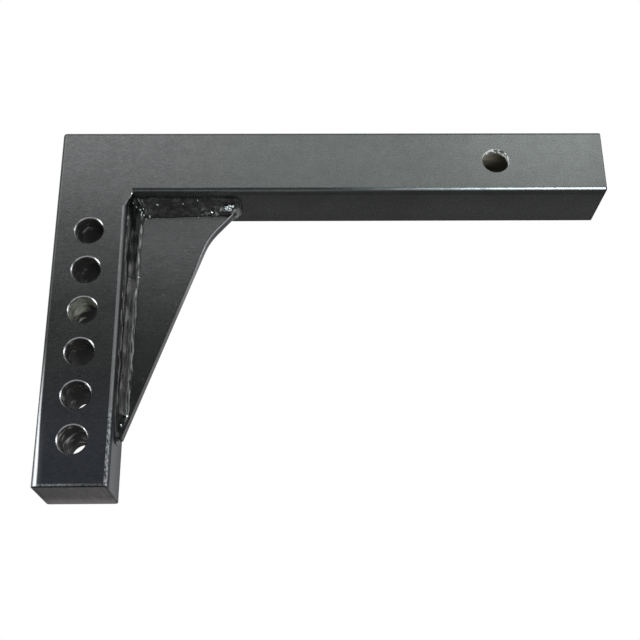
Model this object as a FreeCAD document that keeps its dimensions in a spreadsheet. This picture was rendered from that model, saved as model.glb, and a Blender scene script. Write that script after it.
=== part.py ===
import FreeCAD, Part
import math
import os

import Sketcher
from FreeCAD import Placement, Vector

# Weight distribution hitch shank: a welded L of square steel that slides into a tow vehicle's
# receiver and carries the hitch head on its leg.
#
# Frame: origin at the centre of the receiver pin hole. +X runs along the bar to its open end,
# +Y along the pin, away from the front face, and +Z up. Everything is in millimetres.

# Driving dimensions: alias, value, what it is
SIZES = [
    ("overall_length", 411.5, "back of the leg to the open end of the bar"),
    ("overall_height", 275.4, "top of the bar to the foot of the leg"),
    ("shank_depth", 50.8, "front face to rear face, of the bar and of the leg"),
    ("corner_radius", 2.5, "outer corner of the square stock"),
    ("bar_height", 50.8, "height of the receiver bar"),
    ("bar_wall", 6.35, "wall of the receiver bar"),
    ("bar_bore_radius", 1.6, "inner corner of the receiver bar"),
    ("bar_end_radius", 1.0, "rounded rim of the bar's open end"),
    ("pin_hole_diameter", 20.6, "hole for the hitch pin"),
    ("pin_setback", 82.55, "pin hole to the open end of the bar"),
    ("leg_width", 50.8, "width of the leg along X"),
    ("bolt_hole_diameter", 19.8, "hole for a head bolt"),
    ("bolt_hole_chamfer", 1.2, "chamfer at both rims of a bolt hole"),
    ("bolt_hole_pitch", 31.75, "bolt hole to bolt hole"),
    ("bolt_hole_count", 6, "bolt holes down the leg"),
    ("first_hole_drop", 83.7, "top of the bar to the first bolt hole"),
    ("foot_edge_radius", 1.0, "rounded edge of the sawn foot"),
    ("gusset_thickness", 9.525, "plate thickness"),
    ("gusset_run", 80.1, "plate's length along the bar"),
    ("gusset_drop", 185.0, "plate's length down the leg"),
    ("gusset_nose_height", 2.0, "upright end of the nose under the bar"),
    ("gusset_nose_radius", 12.0, "round below the nose"),
    ("gusset_shoulder_angle", 48.6, "slope of the shoulder, degrees below level"),
    ("gusset_shoulder_length", 15.6, "straight shoulder behind the nose"),
    ("gusset_hollow_radius", 50.0, "hollow between shoulder and long edge"),
    ("gusset_foot_width", 4.1, "blunt lower end of the plate"),
    ("gusset_edge_radius", 0.8, "rounded rims of the free edge"),
    ("cope_allowance", 1.5, "plate's corner cut, beyond the corner weld"),
    ("seam_bevel", 5.0, "bevel round the bar's welded end"),
    ("seam_root_radius", 1.2, "corner of the bevel's root"),
    ("corner_weld_run", 4.2, "corner weld's leg along the bar"),
    ("corner_weld_drop", 13.5, "corner weld's leg down the leg"),
    ("bar_bead_spread", 10.2, "bar bead's leg on the bar"),
    ("bar_bead_rise", 12.4, "bar bead's leg on the plate, at the corner"),
    ("bar_bead_rise_late", 9.8, "the same where the bead starts to fade"),
    ("bar_bead_end", 5.5, "both legs at the plate's nose"),
    ("leg_bead_spread", 11.2, "leg bead's leg on the leg"),
    ("leg_bead_rise", 11.0, "leg bead's leg on the plate, at the corner"),
    ("leg_bead_rise_late", 7.4, "the same where the bead starts to fade"),
    ("leg_bead_end", 3.2, "both legs at the plate's lower end"),
    ("bead_fade", 24.0, "stretch over which a bead shrinks to its end"),
    ("bead_reach", 5.0, "bead's length past the end of the plate"),
    ("bead_crown", 0.9, "bulge of a bead's face"),
    ("ripple_pitch", 3.5, "ripple to ripple along a bead"),
    ("ripple_height", 0.5, "step of a ripple"),
    ("weave_length", 27.0, "length of one slow swell of a bead"),
    ("weave_height", 0.35, "height of the slow swell"),
]

# How finely a bead is drawn: steps up its face, steps round its end, and where a ripple crests
BEAD_FACE_STEPS = 4
BEAD_END_STEPS = 6
RIPPLE_CREST_AT = 0.7

document = FreeCAD.newDocument("hitch_shank")
sheet = document.addObject("Spreadsheet::Sheet", "sizes")
for row, (alias, value, meaning) in enumerate(SIZES, start=1):
    sheet.set(f"A{row}", alias)
    sheet.set(f"B{row}", str(value))
    sheet.set(f"C{row}", meaning)
    sheet.setAlias(f"B{row}", alias)
document.recompute()


def size(alias):
    """The sheet's value, for the first guess of a sketch and for the bead's sections."""
    return float(sheet.get(alias))


# Places that several pieces share, as expressions on the sheet
LEG_INNER_X = "(sizes.pin_setback + sizes.leg_width - sizes.overall_length)"
BAR_BOTTOM_Z = "(-sizes.bar_height / 2)"
BAR_LENGTH = "(sizes.overall_length - sizes.leg_width)"
COPE = "(sizes.corner_weld_drop + sizes.cope_allowance)"
leg_inner_x = size("pin_setback") + size("leg_width") - size("overall_length")
bar_bottom_z = -size("bar_height") / 2


def new_body(label, x="0", z="0"):
    """A body whose own origin is placed in the X-Z plane by two expressions."""
    body = document.addObject("PartDesign::Body", label)
    body.Label = label
    body.setExpression("Placement.Base.x", x)
    body.setExpression("Placement.Base.z", z)
    return body


def new_sketch(body, name, plane_role, offset="0", rise="0"):
    """A sketch on one of the body's origin planes, moved off it and up it by expressions."""
    sketch = body.newObject("Sketcher::SketchObject", name)
    plane = [feature for feature in body.Origin.OriginFeatures if feature.Role == plane_role][0]
    sketch.AttachmentSupport = [(plane, "")]
    sketch.MapMode = "FlatFace"
    sketch.setExpression("AttachmentOffset.Base.z", offset)
    sketch.setExpression("AttachmentOffset.Base.y", rise)
    return sketch


def bind(sketch, name, expression, *constraint):
    """Adds a driving constraint and ties it to an expression."""
    index = sketch.addConstraint(Sketcher.Constraint(*constraint))
    sketch.renameConstraint(index, name)
    sketch.setExpression(f"Constraints.{name}", expression)


def rounded_rectangle(sketch, width, height, radius):
    """A rectangle with round corners, centred on the sketch's origin.

    Each of the three sizes is an (expression, value) pair."""
    (width_text, w), (height_text, h), (radius_text, r) = width, height, radius
    x, y = w / 2, h / 2
    corners = [Vector(x - r, r - y), Vector(x - r, y - r), Vector(r - x, y - r), Vector(r - x, r - y)]
    ends = [
        (Vector(r - x, -y), Vector(x - r, -y)),
        (Vector(x, r - y), Vector(x, y - r)),
        (Vector(x - r, y), Vector(r - x, y)),
        (Vector(-x, y - r), Vector(-x, r - y)),
    ]
    for start, end in ends:
        sketch.addGeometry(Part.LineSegment(start, end))
    for turn, centre in enumerate(corners):
        start_angle = (turn - 1) * math.pi / 2
        circle = Part.Circle(centre, Vector(0, 0, 1), r)
        sketch.addGeometry(Part.ArcOfCircle(circle, start_angle, start_angle + math.pi / 2))
    for side in range(4):
        arc = 4 + side
        sketch.addConstraint(Sketcher.Constraint("Tangent", side, 2, arc, 1))
        sketch.addConstraint(Sketcher.Constraint("Tangent", arc, 2, (side + 1) % 4, 1))
        sketch.addConstraint(Sketcher.Constraint("Vertical" if side % 2 else "Horizontal", side))
    for arc in (5, 6, 7):
        sketch.addConstraint(Sketcher.Constraint("Equal", 4, arc))
    sketch.addConstraint(Sketcher.Constraint("Symmetric", 4, 3, 6, 3, -1, 1))
    bind(sketch, "corner", radius_text, "Radius", 4, r)
    bind(sketch, "across", width_text, "DistanceX", 3, 1, 1, 1, w)
    bind(sketch, "upright", height_text, "DistanceY", 0, 1, 2, 1, h)


def bar_section(body, name, inset=None, radius="corner_radius", offset="0"):
    """The bar's section across X, set in all round by the size that inset names, if any."""
    sketch = new_sketch(body, name, "YZ_Plane", offset)
    less = f" - 2 * sizes.{inset}" if inset else ""
    less_value = 2 * size(inset) if inset else 0
    rounded_rectangle(
        sketch,
        (f"sizes.shank_depth{less}", size("shank_depth") - less_value),
        (f"sizes.bar_height{less}", size("bar_height") - less_value),
        (f"sizes.{radius}", size(radius)),
    )
    return sketch


def extrude(kind, body, name, sketch, length, side_type="One side", is_reversed=False):
    """A Pad or Pocket of a sketch, its length tied to an expression."""
    feature = body.newObject(f"PartDesign::{kind}", name)
    feature.Profile = sketch
    feature.SideType = side_type
    feature.Reversed = is_reversed
    feature.setExpression("Length", length)
    return feature


def pad(body, name, sketch, length, **options):
    return extrude("Pad", body, name, sketch, length, **options)


def pocket(body, name, sketch, length, **options):
    return extrude("Pocket", body, name, sketch, length, **options)


def edges_in_plane(shape, axis, place):
    """Names of the edges whose ends all lie in the plane across X, Y or Z at one place."""
    names = []
    for index, edge in enumerate(shape.Edges, start=1):
        if max(abs(getattr(vertex, axis) - place) for vertex in edge.Vertexes) < 1e-6:
            names.append(f"Edge{index}")
    return names


def round_edges(body, name, base, edge_names, radius):
    feature = body.newObject("PartDesign::Fillet", name)
    feature.Base = (base, edge_names)
    feature.setExpression("Radius", radius)
    document.recompute()
    return feature


def make_receiver_bar():
    """Square tube from the leg to its open end, bevelled where it is welded, with a pin hole."""
    body = new_body("receiver_bar", x=LEG_INNER_X)
    outer = bar_section(body, "bar_outer", offset="sizes.seam_bevel")
    pad(body, "bar_run", outer, f"{BAR_LENGTH} - sizes.seam_bevel")
    root = bar_section(body, "bevel_root", "seam_bevel", "seam_root_radius")
    document.recompute()
    bevel = body.newObject("PartDesign::AdditiveLoft", "bar_bevel")
    bevel.Profile = root
    bevel.Sections = [outer]
    bevel.Ruled = True
    document.recompute()
    end_rim = edges_in_plane(bevel.Shape, "X", size("overall_length") - size("leg_width"))
    round_edges(body, "bar_end", bevel, end_rim, "sizes.bar_end_radius")
    bore = bar_section(body, "bar_bore", "bar_wall", "bar_bore_radius")
    pocket(body, "bar_hollow", bore, BAR_LENGTH, is_reversed=True)
    pin = new_sketch(body, "pin_hole_circle", "XZ_Plane")
    along = size("overall_length") - size("leg_width") - size("pin_setback")
    pin.addGeometry(Part.Circle(Vector(along, 0), Vector(0, 0, 1), size("pin_hole_diameter") / 2))
    pin.addConstraint(Sketcher.Constraint("PointOnObject", 0, 3, -1))
    bind(pin, "along", f"{BAR_LENGTH} - sizes.pin_setback", "DistanceX", -1, 1, 0, 3, along)
    bind(pin, "bore", "sizes.pin_hole_diameter", "Diameter", 0, size("pin_hole_diameter"))
    pocket(body, "pin_hole", pin, "sizes.shank_depth", side_type="Symmetric")
    document.recompute()
    return body


def make_adjustment_leg():
    """Solid square bar, stock edges rounded, with a row of bolt holes chamfered at both rims."""
    body = new_body(
        "adjustment_leg",
        x=f"{LEG_INNER_X} - sizes.leg_width / 2",
        z="sizes.bar_height / 2",
    )
    section = new_sketch(body, "leg_section", "XY_Plane")
    rounded_rectangle(
        section,
        ("sizes.leg_width", size("leg_width")),
        ("sizes.shank_depth", size("shank_depth")),
        ("sizes.corner_radius", size("corner_radius")),
    )
    run = pad(body, "leg_run", section, "sizes.overall_height", is_reversed=True)
    document.recompute()
    top = round_edges(body, "leg_top", run, edges_in_plane(run.Shape, "Z", 0), "sizes.corner_radius")
    foot_z = -size("overall_height")
    foot_rim = edges_in_plane(top.Shape, "Z", foot_z)
    round_edges(body, "leg_foot", top, foot_rim, "sizes.foot_edge_radius")
    profile = new_sketch(body, "bolt_hole_profile", "YZ_Plane", rise="-sizes.first_hole_drop")
    half = size("shank_depth") / 2
    bore = size("bolt_hole_diameter") / 2
    chamfer = size("bolt_hole_chamfer")
    points = [
        Vector(-half, 0),
        Vector(half, 0),
        Vector(half, bore + chamfer),
        Vector(half - chamfer, bore),
        Vector(chamfer - half, bore),
        Vector(-half, bore + chamfer),
    ]
    for index, point in enumerate(points):
        profile.addGeometry(Part.LineSegment(point, points[(index + 1) % 6]))
    for index in range(6):
        profile.addConstraint(Sketcher.Constraint("Coincident", index, 2, (index + 1) % 6, 1))
    for index in (1, 5):
        profile.addConstraint(Sketcher.Constraint("Vertical", index))
    profile.addConstraint(Sketcher.Constraint("Horizontal", 3))
    profile.addConstraint(Sketcher.Constraint("Symmetric", 0, 1, 0, 2, -1, 1))
    profile.addConstraint(Sketcher.Constraint("Equal", 1, 5))
    bind(profile, "through", "sizes.shank_depth", "DistanceX", 0, 1, 0, 2, 2 * half)
    bind(profile, "bore", "sizes.bolt_hole_diameter / 2", "DistanceY", -1, 1, 3, 1, bore)
    bind(profile, "rim_out", "sizes.bolt_hole_chamfer", "DistanceY", 2, 2, 2, 1, chamfer)
    bind(profile, "rim_in", "sizes.bolt_hole_chamfer", "DistanceX", 2, 2, 2, 1, chamfer)
    bind(profile, "rim_far", "sizes.bolt_hole_chamfer", "DistanceX", 4, 2, 4, 1, chamfer)
    document.recompute()
    hole = body.newObject("PartDesign::Groove", "bolt_hole")
    hole.Profile = profile
    hole.ReferenceAxis = (profile, ["H_Axis"])
    hole.Angle = 360
    document.recompute()
    row = body.newObject("PartDesign::LinearPattern", "bolt_hole_row")
    row.Originals = [hole]
    row.Direction = (profile, ["V_Axis"])
    row.Reversed = True
    row.Mode = "Spacing"
    row.setExpression("Offset", "sizes.bolt_hole_pitch")
    row.setExpression("Occurrences", "sizes.bolt_hole_count")
    body.Tip = row
    document.recompute()
    return body


def gusset_edge():
    """Points, centres and angles of the gusset's free edge, from the welded corner outwards.

    Under the bar the nose ends upright, a round turns into the sloping shoulder, and a hollow
    turns from the shoulder into the long edge, which runs straight to the plate's lower end."""
    slope = math.radians(size("gusset_shoulder_angle"))
    nose_r, hollow_r = size("gusset_nose_radius"), size("gusset_hollow_radius")
    nose = Vector(size("gusset_run"), -size("gusset_nose_height"))
    nose_centre = nose - Vector(nose_r, 0)
    shoulder = nose_centre + nose_r * Vector(math.sin(slope), -math.cos(slope))
    along = Vector(-math.cos(slope), -math.sin(slope))
    hollow = shoulder + size("gusset_shoulder_length") * along
    hollow_centre = hollow + hollow_r * Vector(math.sin(slope), -math.cos(slope))
    foot = Vector(size("gusset_foot_width"), -size("gusset_drop"))
    reach = hollow_centre - foot
    steep = math.atan2(reach.y, reach.x) + math.asin(hollow_r / reach.Length)
    long_edge = hollow_centre - hollow_r * Vector(math.sin(steep), -math.cos(steep))
    return {
        "nose": nose,
        "nose_centre": nose_centre,
        "shoulder": shoulder,
        "hollow": hollow,
        "hollow_centre": hollow_centre,
        "long_edge": long_edge,
        "foot": foot,
        "slope": slope,
        "steep": steep,
    }


def make_gusset_plate():
    """Flat plate in the mid-plane, its free edge drawn from arcs and tangent straights."""
    body = new_body("gusset_plate", x=LEG_INNER_X, z=BAR_BOTTOM_Z)
    sketch = new_sketch(body, "gusset_outline", "XZ_Plane")
    edge = gusset_edge()
    cope = size("corner_weld_drop") + size("cope_allowance")
    top_near, top_far = Vector(cope, 0), Vector(size("gusset_run"), 0)
    foot_inner, cope_low = Vector(0, -size("gusset_drop")), Vector(0, -cope)
    normal = Vector(0, 0, 1)
    nose_circle = Part.Circle(edge["nose_centre"], normal, size("gusset_nose_radius"))
    hollow_circle = Part.Circle(edge["hollow_centre"], normal, size("gusset_hollow_radius"))
    quarter = math.pi / 2
    geometry = [
        Part.LineSegment(top_near, top_far),
        Part.LineSegment(top_far, edge["nose"]),
        Part.ArcOfCircle(nose_circle, edge["slope"] - quarter, 0),
        Part.LineSegment(edge["hollow"], edge["shoulder"]),
        Part.ArcOfCircle(hollow_circle, edge["slope"] + quarter, edge["steep"] + quarter),
        Part.LineSegment(edge["long_edge"], edge["foot"]),
        Part.LineSegment(edge["foot"], foot_inner),
        Part.LineSegment(foot_inner, cope_low),
        Part.LineSegment(cope_low, top_near),
    ]
    for item in geometry:
        sketch.addGeometry(item)
    joints = [
        ("Coincident", 0, 2, 1, 1),
        ("Tangent", 1, 2, 2, 2),
        ("Tangent", 2, 1, 3, 2),
        ("Tangent", 3, 1, 4, 1),
        ("Tangent", 4, 2, 5, 1),
        ("Coincident", 5, 2, 6, 1),
        ("Coincident", 6, 2, 7, 1),
        ("Coincident", 7, 2, 8, 1),
        ("Coincident", 8, 2, 0, 1),
        ("PointOnObject", 0, 1, -1),
        ("PointOnObject", 0, 2, -1),
        ("Vertical", 1),
        ("Horizontal", 6),
        ("PointOnObject", 7, 1, -2),
        ("PointOnObject", 7, 2, -2),
    ]
    for joint in joints:
        sketch.addConstraint(Sketcher.Constraint(*joint))
    bind(sketch, "cope_run", COPE, "DistanceX", -1, 1, 0, 1, cope)
    bind(sketch, "cope_drop", COPE, "DistanceY", 7, 2, -1, 1, cope)
    bind(sketch, "run", "sizes.gusset_run", "DistanceX", -1, 1, 0, 2, size("gusset_run"))
    bind(sketch, "drop", "sizes.gusset_drop", "DistanceY", 7, 1, -1, 1, size("gusset_drop"))
    bind(sketch, "nose_height", "sizes.gusset_nose_height", "DistanceY", 1, 2, 1, 1,
         size("gusset_nose_height"))
    bind(sketch, "nose_round", "sizes.gusset_nose_radius", "Radius", 2, size("gusset_nose_radius"))
    bind(sketch, "shoulder", "sizes.gusset_shoulder_length", "Distance", 3,
         size("gusset_shoulder_length"))
    bind(sketch, "slope", "sizes.gusset_shoulder_angle", "Angle", 3, edge["slope"])
    bind(sketch, "hollow", "sizes.gusset_hollow_radius", "Radius", 4, size("gusset_hollow_radius"))
    bind(sketch, "foot", "sizes.gusset_foot_width", "DistanceX", 6, 2, 6, 1,
         size("gusset_foot_width"))
    plate = pad(body, "plate", sketch, "sizes.gusset_thickness", side_type="Symmetric")
    document.recompute()
    round_edges(body, "free_edge", plate, free_rims(plate.Shape), "sizes.gusset_edge_radius")
    return body


def free_rims(shape):
    """Names of the rims, front and rear, of the plate's free edge from nose to lower end."""
    half = size("gusset_thickness") / 2
    names = []
    for index, edge in enumerate(shape.Edges, start=1):
        middle = edge.valueAt((edge.FirstParameter + edge.LastParameter) / 2)
        on_a_face = all(abs(abs(vertex.Y) - half) < 1e-6 for vertex in edge.Vertexes)
        if on_a_face and abs(abs(middle.y) - half) < 1e-6:
            is_welded = abs(middle.x) < 1e-6 or abs(middle.z) < 1e-6
            is_cope = middle.x - middle.z < size("corner_weld_drop") + 2 * size("cope_allowance")
            if not is_welded and not is_cope:
                names.append(f"Edge{index}")
    return names


def trimmed(label, base, tools):
    """The base with each tool cut from it in turn; the last cut carries the label."""
    result = base
    for index, tool in enumerate(tools, start=1):
        is_last = index == len(tools)
        cut = document.addObject("Part::Cut", label if is_last else f"{label}_cut_{index}")
        cut.Base = result
        cut.Tool = tool
        result = cut
    result.Label = label
    document.recompute()
    return result


def make_seam_weld(leg, bar):
    """Groove weld round the bar's end: it fills the bevel and the leg's rounded edges, flush."""
    body = new_body("seam_block", x=f"{LEG_INNER_X} - sizes.corner_radius")
    section = bar_section(body, "seam_outer")
    pad(body, "seam_run", section, "sizes.seam_bevel + sizes.corner_radius")
    bore = bar_section(body, "seam_bore", "seam_bevel", "seam_root_radius")
    depth = "sizes.seam_bevel + sizes.corner_radius"
    pocket(body, "seam_hollow", bore, depth, is_reversed=True)
    document.recompute()
    return trimmed("seam_weld", body, [leg, bar])


def make_corner_weld(leg, bar, seam):
    """Fillet in the inner corner from front to rear, ground flush with both faces.

    Its sloping face starts on the bar and runs out over the leg's rounded edges."""
    body = new_body("corner_block", x=LEG_INNER_X, z=BAR_BOTTOM_Z)
    sketch = new_sketch(body, "corner_section", "XZ_Plane")
    run, drop, radius = size("corner_weld_run"), size("corner_weld_drop"), size("corner_radius")
    slope = (run + radius) / drop
    points = [Vector(-radius, radius), Vector(-radius, -drop), Vector(run + radius * slope, radius)]
    for index, point in enumerate(points):
        sketch.addGeometry(Part.LineSegment(point, points[(index + 1) % 3]))
    for index in range(3):
        sketch.addConstraint(Sketcher.Constraint("Coincident", index, 2, (index + 1) % 3, 1))
    sketch.addConstraint(Sketcher.Constraint("Vertical", 0))
    sketch.addConstraint(Sketcher.Constraint("Horizontal", 2))
    bind(sketch, "behind", "sizes.corner_radius", "DistanceX", 0, 1, -1, 1, radius)
    bind(sketch, "above", "sizes.corner_radius", "DistanceY", -1, 1, 0, 1, radius)
    bind(sketch, "drop", "sizes.corner_weld_drop", "DistanceY", 0, 2, -1, 1, drop)
    top_run = "sizes.corner_weld_run + sizes.corner_radius * (sizes.corner_weld_run"
    top_run += " + sizes.corner_radius) / sizes.corner_weld_drop"
    bind(sketch, "run", top_run, "DistanceX", -1, 1, 2, 1, run + radius * slope)
    pad(body, "corner_run", sketch, "sizes.shank_depth", side_type="Symmetric")
    document.recompute()
    return trimmed("corner_weld", body, [leg, bar, seam])


def bead_section(place, side, top, spread, rise, shrink):
    """One section across a bead, as a closed wire.

    side runs across the plate and top away from the welded surface. The section straddles the
    plate: flat on the surface, a bulging face up to each side of the plate, and level where the
    plate will be cut out of it."""
    half_plate = size("gusset_thickness") / 2
    bulge = size("bead_crown") / math.hypot(spread, rise)
    face = []
    for step in range(BEAD_FACE_STEPS + 1):
        climb = step / BEAD_FACE_STEPS
        crown = bulge * 4 * climb * (1 - climb)
        across = half_plate + spread * (1 - climb) + rise * crown
        face.append((across, rise * climb + spread * crown))
    outline = face + [(-across, up) for across, up in reversed(face)]
    corners = [place + side * across * shrink + top * up * shrink for across, up in outline]
    return Part.makePolygon(corners + corners[:1])


def bead_legs(bead, travel, plate_length):
    """Both legs of a bead at a distance from the corner, on the stock and on the plate.

    The leg on the plate lessens evenly, a slow swell runs along both, and over the last stretch
    both fade smoothly to the size at the plate's end."""
    spread = size(f"{bead}_spread")
    rise, rise_late = size(f"{bead}_rise"), size(f"{bead}_rise_late")
    end, fade_length = size(f"{bead}_end"), size("bead_fade")
    rise += (rise_late - rise) * min(1.0, travel / (plate_length - fade_length))
    swell = size("weave_height") * math.sin(2 * math.pi * travel / size("weave_length"))
    left = min(1.0, max(0.0, (plate_length - travel) / fade_length))
    blend = left * left * (3 - 2 * left)
    return end + (spread + swell - end) * blend, end + (rise + swell - end) * blend


def rippled_bead(bead, start, along, side, top, plate_length):
    """A bead from the corner to just past the end of the plate, as one lofted solid.

    Every ripple rises slowly and drops over its last third. Past the plate's end the section
    shrinks like a quarter of an ellipse, which wraps the bead round the plate."""
    pitch, height = size("ripple_pitch"), size("ripple_height")
    sections = []
    for index in range(int(plate_length / pitch)):
        for share, step in ((0.0, 0.0), (RIPPLE_CREST_AT, height)):
            travel = (index + share) * pitch
            spread, rise = bead_legs(bead, travel, plate_length)
            place = start + along * travel
            sections.append(bead_section(place, side, top, spread + step, rise + step, 1.0))
    end = size(f"{bead}_end")
    for step in range(BEAD_END_STEPS):
        turn = step / BEAD_END_STEPS * math.pi / 2
        place = start + along * (plate_length + size("bead_reach") * math.sin(turn))
        sections.append(bead_section(place, side, top, end, end, math.cos(turn)))
    return Part.makeLoft(sections, True, True)


def corner_wedge(side_length, is_bar_side):
    """Half of the corner, up to the plane that halves the angle between bar and leg."""
    near = Vector(leg_inner_x, -side_length, bar_bottom_z)
    far = near + Vector(side_length, 0, -side_length)
    third = near + (Vector(side_length, 0, 0) if is_bar_side else Vector(0, 0, -side_length))
    face = Part.Face(Part.makePolygon([near, far, third, near]))
    return face.extrude(Vector(0, 2 * side_length, 0))


def make_bead(label, bead, plate, corner):
    """A gusset bead down both sides of the plate and round its end, mitred at the corner."""
    start = Vector(leg_inner_x, 0, bar_bottom_z)
    along, top = Vector(1, 0, 0), Vector(0, 0, -1)
    plate_length = size("gusset_run")
    is_bar_side = bead == "bar_bead"
    if not is_bar_side:
        along, top = top, along
        plate_length = size("gusset_drop")
    reach = 2 * (plate_length + size("bead_reach"))
    loft = rippled_bead(bead, start, along, Vector(0, 1, 0), top, plate_length)
    raw = document.addObject("Part::Feature", f"{bead}_raw")
    raw.Shape = loft.common(corner_wedge(reach, is_bar_side))
    raw.Placement = Placement()
    return trimmed(label, raw, [plate, corner])


def check(objects):
    """Stops the build if anything in the document failed, or if a sub-part is no true solid."""
    failed = [item.Name for item in document.Objects if {"Invalid", "Error"} & set(item.State)]
    if failed:
        raise RuntimeError(f"failed features: {failed}")
    for item in objects:
        if item.Shape.isNull() or not item.Shape.isValid():
            raise RuntimeError(f"{item.Label} has no valid shape")
        if len(item.Shape.Solids) != 1:
            raise RuntimeError(f"{item.Label} has {len(item.Shape.Solids)} solids")


receiver_bar = make_receiver_bar()
adjustment_leg = make_adjustment_leg()
gusset_plate = make_gusset_plate()
seam_weld = make_seam_weld(adjustment_leg, receiver_bar)
corner_weld = make_corner_weld(adjustment_leg, receiver_bar, seam_weld)
bar_weld = make_bead("bar_weld", "bar_bead", gusset_plate, corner_weld)
leg_weld = make_bead("leg_weld", "leg_bead", gusset_plate, corner_weld)
document.recompute()

parts = [receiver_bar, adjustment_leg, gusset_plate, seam_weld, corner_weld, bar_weld, leg_weld]
check(parts)
os.makedirs("parts", exist_ok=True)
for part in parts:
    part.Shape.exportStep(f"parts/{part.Label}.step")
    box = part.Shape.BoundBox
    print(part.Label, round(part.Shape.Volume), "mm3, X", round(box.XMin, 2), round(box.XMax, 2),
          "Y", round(box.YMin, 2), round(box.YMax, 2), "Z", round(box.ZMin, 2), round(box.ZMax, 2))
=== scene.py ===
# %% [markdown]
# # A weight distribution hitch shank
#
# The real object is one rigid weldment of black painted steel. A square tube slides into the
# receiver of a tow vehicle, a solid leg with six bolt holes hangs from its end, and a plate
# stands in the corner between them, welded all round.
#
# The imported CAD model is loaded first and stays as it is. This script gives its plain solids
# their paint, and replaces the three beads of weld metal with surfaces that are rough, stringy
# and rippled as real ones are.

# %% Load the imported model
import math

import bmesh
import bpy
import numpy as np
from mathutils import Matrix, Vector


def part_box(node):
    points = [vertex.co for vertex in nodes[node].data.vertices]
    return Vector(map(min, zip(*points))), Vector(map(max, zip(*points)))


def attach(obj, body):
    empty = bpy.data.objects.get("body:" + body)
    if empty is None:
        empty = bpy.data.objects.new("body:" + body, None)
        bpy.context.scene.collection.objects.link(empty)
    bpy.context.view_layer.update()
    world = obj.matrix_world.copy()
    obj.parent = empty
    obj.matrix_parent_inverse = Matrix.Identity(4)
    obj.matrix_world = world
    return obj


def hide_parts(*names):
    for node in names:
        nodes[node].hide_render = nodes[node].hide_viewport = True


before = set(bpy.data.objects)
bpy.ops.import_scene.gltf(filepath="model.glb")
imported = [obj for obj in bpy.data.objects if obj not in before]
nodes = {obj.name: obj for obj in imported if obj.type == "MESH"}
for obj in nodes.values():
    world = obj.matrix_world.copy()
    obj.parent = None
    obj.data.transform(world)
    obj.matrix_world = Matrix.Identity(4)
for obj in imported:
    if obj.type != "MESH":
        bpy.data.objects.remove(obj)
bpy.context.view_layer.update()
MM = 0.001
print("CAD nodes:", ", ".join(sorted(nodes)))

# %% [markdown]
# ## Where things are
#
# Blender works in metres and in the CAD's own frame: the origin is the centre of the receiver
# pin hole, X runs along the bar to its open end, Y away from the front face and Z up. The
# boxes of the CAD nodes give the planes that the welds sit on, so nothing has to be fitted.

# %% Planes and rows that the pieces share
leg_low, leg_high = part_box("adjustment_leg")
bar_low, bar_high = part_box("receiver_bar")
plate_low, plate_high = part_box("gusset_plate")

LEG_FACE_X = plate_low.x
BAR_UNDER_Z = plate_high.z
PLATE_HALF = plate_high.y
PLATE_RUN = plate_high.x - plate_low.x
PLATE_DROP = plate_high.z - plate_low.z
HALF_DEPTH = leg_high.y
LEG_MIDDLE_X = (leg_low.x + leg_high.x) / 2
LEG_HALF = leg_high.x - LEG_MIDDLE_X

FIRST_HOLE_Z = -58.3 * MM
HOLE_PITCH = 31.75 * MM
HOLE_COUNT = 6
HOLE_RADIUS = 9.9 * MM
CHAMFER = 1.2 * MM
PIN_HOLE_RADIUS = 10.3 * MM
BAR_BORE_HALF = 19.05 * MM
EDGE_ROUND = 2.2 * MM
print("plate runs", round(PLATE_RUN, 4), "along the bar and", round(PLATE_DROP, 4), "down the leg")

# %% [markdown]
# ## The camera
#
# The photograph looks up at the shank from below and in front. The lens, the place and the
# turn were found by fitting the straight edges and the holes of the object to the picture, so
# they are numbers here and not a guess.

# %% Make the camera
FRAME_PIXELS = 640
FOCAL_PIXELS = 1059.3
SENSOR_WIDTH = 36.0
CAMERA_PLACE = (-0.14824, -0.71945, -0.41983)
CAMERA_TURN = (112.6267, 0.6284, -0.8345)

camera_data = bpy.data.cameras.new("camera")
camera_data.sensor_width = SENSOR_WIDTH
camera_data.lens = FOCAL_PIXELS / FRAME_PIXELS * SENSOR_WIDTH
camera_data.clip_start = 0.01
camera_data.clip_end = 50
camera = bpy.data.objects.new("camera", camera_data)
camera.location = CAMERA_PLACE
camera.rotation_euler = [math.radians(angle) for angle in CAMERA_TURN]
bpy.context.scene.collection.objects.link(camera)
bpy.context.scene.camera = camera
bpy.context.scene.view_settings.view_transform = "Standard"
print("camera lens", round(camera_data.lens, 2), "mm")

# %% [markdown]
# ## A short way to write materials
#
# A material in Blender is a graph of small nodes. Written out one by one they hide what the
# finish is, so this class keeps the graph and adds nodes with one line each. Every pattern
# reads Object coordinates, which are metres in the CAD's frame, so a pattern runs on from one
# piece to the next across a weld. The depth is the distance from the mid-plane.


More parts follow.
